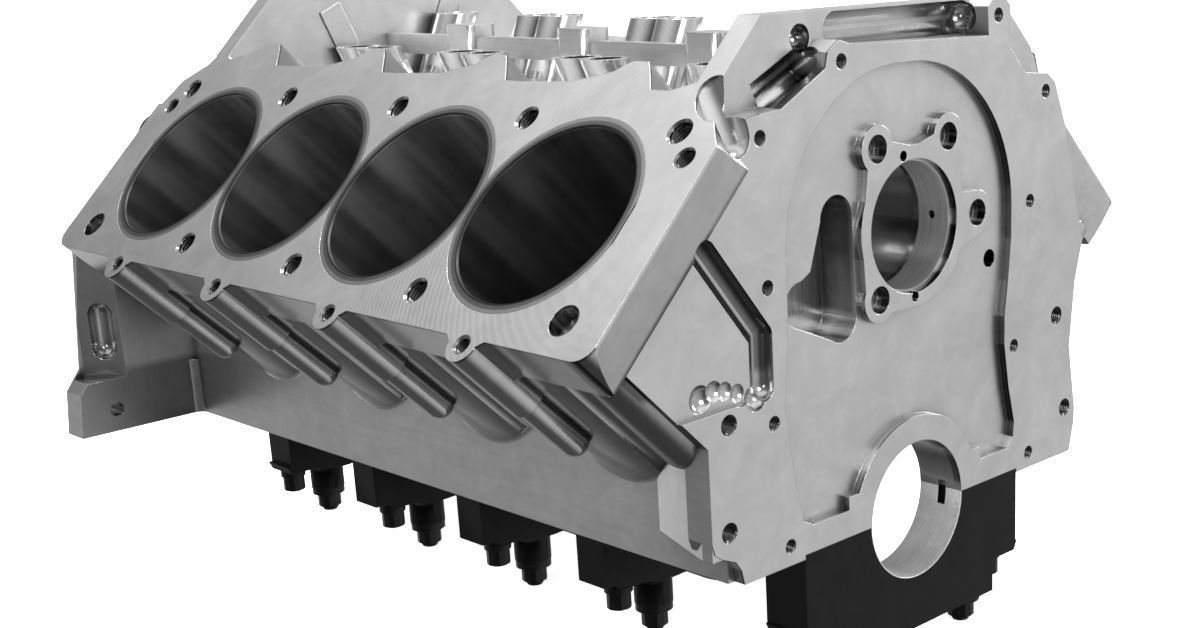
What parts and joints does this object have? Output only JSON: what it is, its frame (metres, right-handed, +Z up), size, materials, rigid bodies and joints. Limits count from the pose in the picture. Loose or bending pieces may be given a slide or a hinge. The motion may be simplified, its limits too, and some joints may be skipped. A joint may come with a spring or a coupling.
{
  "type": "engine block",
  "caption": "V-type engine block machined from solid, with flanged cylinder liners, decks at right angles and studded main caps.",
  "frame": {"origin": "crank axis at the front face of the block", "axes": "+X to the viewer's right seen from the front, +Y back along the crank axis, +Z up in the valley's direction"},
  "size_m": [0.5304, 0.6164, 0.396],
  "materials": {
    "billet_aluminium": "machined satin",
    "liner_iron": "machined, honed bore",
    "cap_steel": "black oxide",
    "bearing_shell": "dull grey lining",
    "fastener_steel": "black oxide",
    "washer_steel": "black oxide",
    "dowel_steel": "ground",
    "plug_steel": "plated",
    "black_plug": "black oxide"
  },
  "bodies": {
    "root": {"engine_block": "billet_aluminium", "cylinder_liner_1": "liner_iron", "cylinder_liner_2": "liner_iron", "cylinder_liner_3": "liner_iron", "cylinder_liner_4": "liner_iron", "cylinder_liner_5": "liner_iron", "cylinder_liner_6": "liner_iron", "cylinder_liner_7": "liner_iron", "cylinder_liner_8": "liner_iron", "main_cap_1": "cap_steel", "main_cap_2": "cap_steel", "main_cap_3": "cap_steel", "main_cap_4": "cap_steel", "main_cap_5": "cap_steel", "cam_bearing_1": "bearing_shell", "cam_bearing_2": "bearing_shell", "cam_bearing_3": "bearing_shell", "cam_bearing_4": "bearing_shell", "cam_bearing_5": "bearing_shell", "inner_main_studs": "fastener_steel", "outer_main_studs": "fastener_steel", "inner_main_nuts": "fastener_steel", "outer_main_nuts": "fastener_steel", "main_washers": "washer_steel", "cap_ring_dowels": "dowel_steel", "bell_dowels": "dowel_steel", "cam_core_plug": "plug_steel", "bank_end_plug": "black_plug"}
  },
  "joints": []
}
